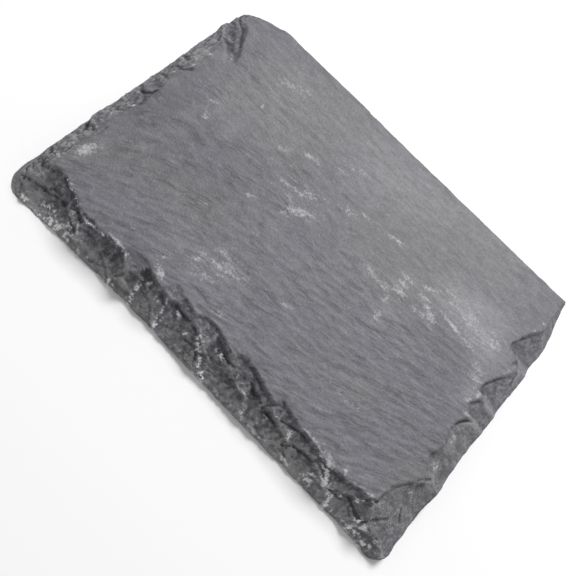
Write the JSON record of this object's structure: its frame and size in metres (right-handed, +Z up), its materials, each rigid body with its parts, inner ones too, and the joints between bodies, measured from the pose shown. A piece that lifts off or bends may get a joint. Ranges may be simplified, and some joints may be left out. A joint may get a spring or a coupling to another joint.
{
  "type": "slate slab",
  "caption": "Rectangular slab of split slate with a cleft flat top, a flat underside and broken, flaked edges. It lies flat as a board, base or stepping stone.",
  "frame": {"origin": "under the middle of the slab, in the plane of its flat underside", "axes": "+X along the long side, +Y across the short side with the widest broken edge at -Y, +Z up out of the split face"},
  "size_m": [0.3, 0.2, 0.022],
  "materials": {
    "slate": "cleft, matt"
  },
  "bodies": {
    "root": {"slate_slab": "slate"}
  },
  "joints": []
}
